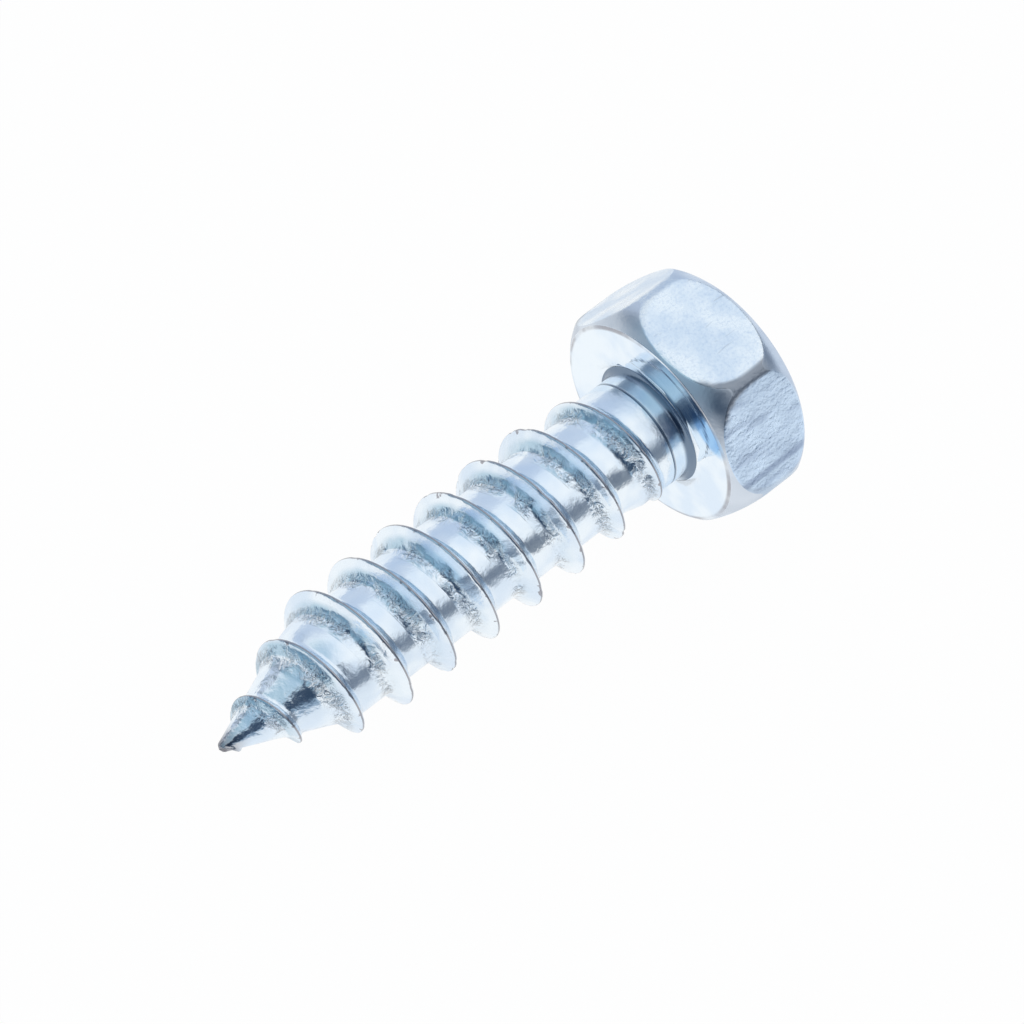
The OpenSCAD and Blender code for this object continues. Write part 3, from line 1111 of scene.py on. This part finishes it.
@dataclass
class HexHead:
    """The head and the upper part of the neck, turned and then cut by six flats."""

    sizes: Sizes = SIZES
    steps: int = 2 * RING_STEPS
    arc: int = 5
    fine_arc: int = 24
    edge_soft: float = 0.04
    corner_soft: float = 0.05
    # How much each corner was dragged, from +X round the axis
    corner_wear: tuple[float, ...] = (0.5, 0.6, 0.15, 0.9, 0.3, 0.5)
    # Exponent that draws the profiles together towards the corners
    crowding: float = 1.55
    under_rim: list[Vector] = field(init=False)
    top_rim: list[Vector] = field(init=False)
    outline: list[Vector] = field(init=False)

    def __post_init__(self) -> None:
        """Works out the turned outline once, with both of its rims."""
        s = self.sizes
        rim, low, high, top = self.corners()
        self.under_rim = self.rounded(Vector((0, 0)), rim, low, s.rim_round, self.arc)
        self.top_rim = self.rounded(high, top, Vector((0, s.head_height)), s.rim_round, self.arc)
        self.outline = (
            self.under_rim
            + self.rounded(rim, low, high, s.corner_round, self.fine_arc)
            + self.rounded(low, high, top, s.corner_round, self.fine_arc)
            + self.top_rim)

    def angles(self) -> list[float]:
        """Gives the directions of the profiles, closest together at the corners.

        Returns:
            Angles in radians, from one flat's middle round the axis.
        """
        half = self.steps // 12
        found = []
        for sector in range(6):
            middle = sector * math.pi / 3
            for k in range(-half, half):
                part = abs(k) / half
                swing = (1 - (1 - part) ** self.crowding) * math.pi / 6
                found.append(middle + math.copysign(swing, k))
        return found

    def off_middle(self, angle: float) -> float:
        """Gives how far a direction is from the middle of its flat, in radians."""
        return (angle + math.pi / 6) % (math.pi / 3) - math.pi / 6

    def least(self, first: float, second: float, soft: float) -> float:
        """Gives the smaller of two lengths, with a soft turn from one to the other.

        Args:
            first: One length.
            second: The other.
            soft: Difference at which the turn starts.

        Returns:
            The length.
        """
        lap = max(soft - abs(first - second), 0) / soft
        return min(first, second) - lap ** 3 * soft / 6

    def reach(self, angle: float) -> float:
        """Gives the distance from the axis to the flat or to the rounded corner.

        Args:
            angle: Direction from the axis, in radians.

        Returns:
            The distance in millimetres.
        """
        s = self.sizes
        flat = s.head_flats / 2 / math.cos(self.off_middle(angle))
        return self.least(flat, s.head_corners / 2, self.corner_soft)

    def rounded(
        self, before: Vector, corner: Vector, after: Vector, radius: float, pieces: int,
    ) -> list[Vector]:
        """Rounds a corner of the profile.

        Args:
            before: The profile's point before the corner.
            corner: The corner.
            after: The profile's point after the corner.
            radius: Radius of the arc.
            pieces: Number of straight pieces in the arc.

        Returns:
            The points of the arc, in order.
        """
        u = (before - corner).normalized()
        v = (after - corner).normalized()
        half = math.acos(max(-1.0, min(1.0, u.dot(v)))) / 2
        centre = corner + (u + v).normalized() * (radius / math.sin(half))
        start = corner + u * (radius / math.tan(half)) - centre
        end = corner + v * (radius / math.tan(half)) - centre
        points = []
        for k in range(pieces + 1):
            share = k / pieces
            points.append(centre + (start * (1 - share) + end * share).normalized() * radius)
        return points

    def corners(self) -> tuple[Vector, Vector, Vector, Vector]:
        """Gives the corners of the outline that the head is turned to.

        Returns:
            Radius and height in millimetres of each, from the bearing face up.
        """
        s = self.sizes
        rim = Vector((s.bearing_d / 2, 0))
        wide = s.head_corners / 2
        low = Vector((wide, (wide - rim.x) * math.tan(math.radians(s.under_chamfer))))
        top = Vector((s.top_d / 2, s.head_height))
        high = Vector((wide, s.head_height - (wide - top.x) * math.tan(math.radians(s.top_chamfer))))
        return rim, low, high, top

    def turned(self, z: float) -> float:
        """Gives the radius that the head is turned to, before the flats are cut.

        Args:
            z: Height above the bearing face, in millimetres.

        Returns:
            The radius in millimetres.
        """
        for before, after in zip(self.outline, self.outline[1:]):
            if before.y <= z <= after.y:
                share = (z - before.y) / max(after.y - before.y, 1e-9)
                return before.x + (after.x - before.x) * share
        return self.outline[-1].x

    def crossing(self, reach: float, upper: bool) -> float:
        """Gives the height at which the turned outline crosses a distance from the axis.

        Args:
            reach: The distance.
            upper: Whether the crossing above the corner's middle is wanted.

        Returns:
            The height in millimetres.
        """
        middle = self.sizes.head_height / 2
        inside, outside = (self.sizes.head_height, middle) if upper else (0.0, middle)
        for _ in range(40):
            z = (inside + outside) / 2
            if self.turned(z) < reach:
                inside = z
            else:
                outside = z
        return (inside + outside) / 2

    def heights(self, reach: float) -> list[tuple[float, Surface]]:
        """Gives the heights of a profile's points between the two rims.

        Args:
            reach: Distance from the axis to the flat or corner.

        Returns:
            Heights in millimetres, each with the finish of the face that follows it.
        """
        start, end = self.under_rim[-1].y, self.top_rim[0].y
        low = self.crossing(reach - self.edge_soft / 2, False)
        high = self.crossing(reach - self.edge_soft / 2, True)
        lap_low = min(0.05, (low - start) / 2)
        lap_high = min(0.05, (end - high) / 2)
        found: list[tuple[float, Surface]] = []
        for first, last, count, kind in (
            (start, low - lap_low, 8, Surface.STRUCK),
            (low - lap_low, low, 3, Surface.STRUCK),
            (low, low + lap_low, 3, Surface.TRIMMED),
            (low + lap_low, high - lap_high, 12, Surface.TRIMMED),
            (high - lap_high, high, 3, Surface.TRIMMED),
            (high, high + lap_high, 3, Surface.STRUCK),
            (high + lap_high, end, 8, Surface.STRUCK),
        ):
            found += [(first + (last - first) * k / count, kind) for k in range(count)]
        return found[1:]

    def profile(self, reach: float) -> list[tuple[Vector, Surface]]:
        """Gives the profile above the bearing face for one direction.

        Args:
            reach: Distance from the axis to the flat or corner in that direction.

        Returns:
            Points as radius and height in millimetres, each with the finish of the face that
            follows it.
        """
        s = self.sizes
        inner = Vector((s.neck_d / 2 + s.neck_fillet, 0))
        middle = Vector((0, s.head_height))
        points = [(inner.lerp(self.under_rim[0], share), Surface.FACED) for share in (0.25, 0.5, 0.75)]
        points += [(p, Surface.FACED) for p in self.under_rim[:-1]]
        points += [(self.under_rim[-1], Surface.STRUCK)]
        for z, kind in self.heights(reach):
            points.append((Vector((self.least(self.turned(z), reach, self.edge_soft), z)), kind))
        points += [(p, Surface.STRUCK) for p in self.top_rim]
        points += [(self.top_rim[-1].lerp(middle, share), Surface.STRUCK) for share in (0.15, 0.4, 0.7, 0.92)]
        return points

    def ring(self, shape: bmesh.types.BMesh, radius: float, z: float) -> list[bmesh.types.BMVert]:
        """Adds a ring of corners round the axis.

        Args:
            shape: The shape that gets them.
            radius: Radius in millimetres.
            z: Height in millimetres.

        Returns:
            The corners, in order.
        """
        turns = [math.tau * k / RING_STEPS for k in range(RING_STEPS)]
        return [shape.verts.new(Vector((radius * math.cos(a), radius * math.sin(a), z)) * MM) for a in turns]

    def wear_at(self, angle: float, height: float) -> float:
        """Gives how much a place on a corner of the head was dragged.

        Args:
            angle: Direction from the axis, in radians.
            height: Height above the bearing face, in millimetres.

        Returns:
            The share, which is widest at the lower and upper ends of the corner.
        """
        s = self.sizes
        flat = s.head_flats / 2 / math.cos(self.off_middle(angle))
        spread = 1.8 if height < 1.2 else 0.25
        widen = 1.4 + spread * ((height - 1.2) / 0.5) ** 2
        wear = self.corner_wear[int(angle % math.tau / math.tau * 6) % 6]
        return wear * min(1.0, max(0.0, (flat - s.head_corners / 2) / 0.03 + widen))

    def add_neck(self, shape: bmesh.types.BMesh) -> list[bmesh.types.BMVert]:
        """Adds the upper part of the neck and its fillet.

        Args:
            shape: The shape that gets the faces.

        Returns:
            The ring of corners at the fillet's upper end, on the bearing face.
        """
        s = self.sizes
        neck = s.neck_d / 2
        outline = [Vector((neck, SEAM_Z)), Vector((neck, (SEAM_Z - s.neck_fillet) / 2))]
        outline += self.rounded(
            Vector((neck, -1)), Vector((neck, 0)), Vector((3, 0)), s.neck_fillet, self.arc + 2)
        rings = [self.ring(shape, point.x, point.y) for point in outline]
        for lower, upper in zip(rings, rings[1:]):
            for k in range(RING_STEPS):
                n = (k + 1) % RING_STEPS
                face = shape.faces.new((lower[k], lower[n], upper[n], upper[k]))
                face.material_index = Surface.ROLLED.value
        return rings[-1]

    def add(self, shape: bmesh.types.BMesh) -> None:
        """Adds the neck's upper part and the head to a shape in the screw's own frame.

        Args:
            shape: The shape that gets the faces.
        """
        s = self.sizes
        corner = shape.verts.layers.float.new("corner")
        inner = self.add_neck(shape)
        columns = []
        for a in self.angles():
            column = []
            for point, _ in self.profile(self.reach(a)):
                vert = shape.verts.new(Vector((point.x * math.cos(a), point.x * math.sin(a), point.y)) * MM)
                vert[corner] = self.wear_at(a, point.y)
                column.append(vert)
            columns.append(column)
        kinds = [kind for _, kind in self.profile(s.head_flats / 2)]
        count = len(columns)
        # The bearing face takes two columns for each step of the fillet's ring
        for k in range(RING_STEPS):
            n = (k + 1) % RING_STEPS
            a, b, c = columns[2 * k][0], columns[2 * k + 1][0], columns[(2 * k + 2) % count][0]
            for face in ((inner[k], b, a), (inner[k], inner[n], b), (inner[n], c, b)):
                shape.faces.new(face).material_index = Surface.FACED.value
        for k in range(count):
            left, right = columns[k], columns[(k + 1) % count]
            for j in range(len(left) - 1):
                face = shape.faces.new((left[j], right[j], right[j + 1], left[j + 1]))
                face.material_index = kinds[j].value
        pole = shape.verts.new(Vector((0, 0, s.head_height)) * MM)
        for k in range(count):
            face = shape.faces.new((columns[k][-1], columns[(k + 1) % count][-1], pole))
            face.material_index = Surface.STRUCK.value
        LOG.info("head: %d directions of %d points", count, len(kinds))


@dataclass
class Screw:
    """The whole screw: one piece of steel with four finishes under one plating."""

    sizes: Sizes = SIZES
    shank: ThreadedShank = field(default_factory=ThreadedShank)
    head: HexHead = field(default_factory=HexHead)

    def build(self) -> bpy.types.Object:
        """Builds and dresses the screw, in place of the CAD node.

        Returns:
            The finished object.
        """
        # In the order of Surface
        finishes = [kind().build() for kind in (RolledZinc, FacedZinc, StruckZinc, TrimmedZinc)]
        skin = self.shank.mesh(finishes[Surface.ROLLED.value])
        shape = bmesh.new()
        shape.from_mesh(skin)
        for face in shape.faces:
            face.material_index = Surface.ROLLED.value
        self.head.add(shape)
        bmesh.ops.remove_doubles(shape, verts=shape.verts, dist=JOIN_MM * MM)
        # Where rows of the skin end close to the seam, a few slivers are left over
        seam = [e for e in shape.edges if all(abs(v.co.z - SEAM_Z * MM) < 0.05 * MM for v in e.verts)]
        bmesh.ops.dissolve_degenerate(shape, dist=0.004 * MM, edges=seam)
        bmesh.ops.recalc_face_normals(shape, faces=shape.faces)
        gap = shape.verts.layers.float.get("foot_gap")
        off = shape.verts.layers.float.get("crest_off")
        own = shape.verts.layers.float_vector.new("own_place")
        for vert in shape.verts:
            vert[own] = vert.co / MM
            if vert.co.z > SEAM_Z * MM:
                vert[gap] = -1.0
                vert[off] = 1.0
        for face in shape.faces:
            face.smooth = True
        loose = [edge for edge in shape.edges if not edge.is_manifold]
        LOG.info("screw: %d edges left open", len(loose))
        mesh = bpy.data.meshes.new("screw_skin")
        shape.to_mesh(mesh)
        shape.free()
        bpy.data.meshes.remove(skin)
        for finish in finishes:
            mesh.materials.append(finish)
        mesh.transform(self.sizes.placing())
        piece = bpy.data.objects.new("screw_skin", mesh)
        bpy.context.scene.collection.objects.link(piece)
        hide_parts("screw")
        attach(piece, "root")
        LOG.info("screw: %d triangles", sum(len(p.vertices) - 2 for p in mesh.polygons))
        return piece


@dataclass(frozen=True)
class Patch:
    """Part of the surroundings that has a tone of its own.

    Args:
        azimuth: Direction of its middle from above, in degrees from +X.
        elevation: Height of its middle, in degrees.
        inner: Angle from the middle up to which the tone is full.
        outer: Angle at which nothing of it is left.
        tone: Its colour.
        strength: Share of the tone in the middle.
    """

    azimuth: float
    elevation: float
    inner: float
    outer: float
    tone: str
    strength: float = 1.0

    def middle(self) -> Vector:
        """Gives the direction of the patch's middle."""
        a, e = math.radians(self.azimuth), math.radians(self.elevation)
        return Vector((math.cos(a) * math.cos(e), math.sin(a) * math.cos(e), math.sin(e)))


@dataclass
class Studio:
    """White floor and a pale tent, with the darker room low down and behind the camera."""

    floor_half: float = 1.5
    white: str = "FFFFFF"
    card: str = "F4F6F9"
    glow_share: float = 0.98
    sky: str = "F4F9FE"
    room: str = "828B97"
    room_top: tuple[float, float] = (0.4, 0.54)
    patches: tuple[Patch, ...] = (
        Patch(66, 15, 22, 46, "CDD8E8"),
        Patch(162, 12, 28, 55, "788C9F"),
        Patch(165, 48, 15, 50, "A9C6D6", 0.8),
        Patch(-30, 55, 5, 35, "FFFFFF", 0.9),
        Patch(-123, 32, 20, 37, "32445A"),
        Patch(-58, 25, 5, 16, "5F6C7E", 0.6),
        Patch(-110, 5, 8, 16, "C4DDF2", 0.6),
    )

    def floor(self) -> None:
        """Adds the floor. It shows white, and keeps a faint shadow."""
        mesh = bpy.data.meshes.new("floor")
        h = self.floor_half
        mesh.from_pydata([(-h, -h, 0), (h, -h, 0), (h, h, 0), (-h, h, 0)], [], [(0, 1, 2, 3)])
        piece = bpy.data.objects.new("floor", mesh)
        bpy.context.scene.collection.objects.link(piece)
        material = bpy.data.materials.new("white_card")
        material.use_nodes = True
        tree = material.node_tree
        tree.nodes.clear()
        path = add_node(tree, "ShaderNodeLightPath")
        seen = add_node(
            tree, "ShaderNodeMath", {0: path.outputs["Is Camera Ray"], 1: path.outputs["Is Glossy Ray"]},
            operation="MAXIMUM")
        share = add_node(tree, "ShaderNodeMath", {0: seen, 1: self.glow_share}, operation="MULTIPLY")
        card = add_node(tree, "ShaderNodeBsdfDiffuse", {"Color": linear(self.card)})
        glow = add_node(tree, "ShaderNodeEmission", {"Color": linear(self.white), "Strength": 1.0})
        both = add_node(tree, "ShaderNodeMixShader", {0: share, 1: card, 2: glow})
        add_node(tree, "ShaderNodeOutputMaterial", {"Surface": both})
        mesh.materials.append(material)

    def world(self) -> None:
        """Sets the light from all round: pale above, the room low down, and the patches."""
        world = bpy.data.worlds.new("studio")
        bpy.context.scene.world = world
        world.use_nodes = True
        tree = world.node_tree
        tree.nodes.clear()
        way = add_node(tree, "ShaderNodeTexCoord").outputs["Generated"]
        height = add_node(tree, "ShaderNodeSeparateXYZ", {0: way}).outputs["Z"]
        above = add_node(
            tree, "ShaderNodeMapRange",
            {"Value": height, "From Min": self.room_top[0], "From Max": self.room_top[1]}, **SOFT)
        mixed = add_node(
            tree, "ShaderNodeMix", {0: above, 6: linear(self.room), 7: linear(self.sky)},
            data_type="RGBA").outputs[2]
        for patch in self.patches:
            facing = add_node(
                tree, "ShaderNodeVectorMath", {0: way, 1: patch.middle()},
                operation="DOT_PRODUCT").outputs["Value"]
            share = add_node(
                tree, "ShaderNodeMapRange",
                {"Value": facing, "From Min": math.cos(math.radians(patch.outer)),
                 "From Max": math.cos(math.radians(patch.inner)), "To Max": patch.strength},
                **SOFT)
            mixed = add_node(
                tree, "ShaderNodeMix",
                {0: share, 6: mixed, 7: linear(patch.tone)}, data_type="RGBA").outputs[2]
        path = add_node(tree, "ShaderNodeLightPath")
        shown = add_node(
            tree, "ShaderNodeMix",
            {0: path.outputs["Is Camera Ray"], 6: mixed, 7: linear(self.white)},
            data_type="RGBA").outputs[2]
        light = add_node(tree, "ShaderNodeBackground", {"Color": shown, "Strength": 1.0})
        add_node(tree, "ShaderNodeOutputWorld", {"Surface": light})

    def build(self) -> None:
        """Sets up the floor and the surroundings, which are the only light."""
        self.floor()
        self.world()
        bpy.context.scene.view_settings.view_transform = "Standard"
        LOG.info("studio: floor and %d patches", len(self.patches))


@dataclass
class Viewpoint:
    """The photograph's camera, worked out from the outline and the crests of the thread."""

    spot_mm: tuple[float, float, float] = (-75.4287, -47.8807, 129.7095)
    turn_deg: tuple[float, float, float] = (34.11731, -9.95549, -43.51795)
    focal_px: float = 7007.0
    sensor_mm: float = 36.0
    clip_m: tuple[float, float] = (0.005, 10.0)

    def build(self) -> None:
        """Adds the camera and looks through it."""
        data = bpy.data.cameras.new("camera")
        data.sensor_fit = "HORIZONTAL"
        data.sensor_width = self.sensor_mm
        data.lens = self.focal_px / IMAGE_PX * self.sensor_mm
        data.clip_start, data.clip_end = self.clip_m
        piece = bpy.data.objects.new("camera", data)
        piece.location = Vector(self.spot_mm) * MM
        piece.rotation_euler = [math.radians(a) for a in self.turn_deg]
        bpy.context.scene.collection.objects.link(piece)
        bpy.context.scene.camera = piece
        LOG.info("camera: %.1f mm lens", data.lens)


def main() -> None:
    """Builds the screw, the studio and the camera."""
    logging.basicConfig(level=logging.INFO, format="%(message)s")
    Viewpoint().build()
    Studio().build()
    Screw().build()


if __name__ == "__main__":
    main()
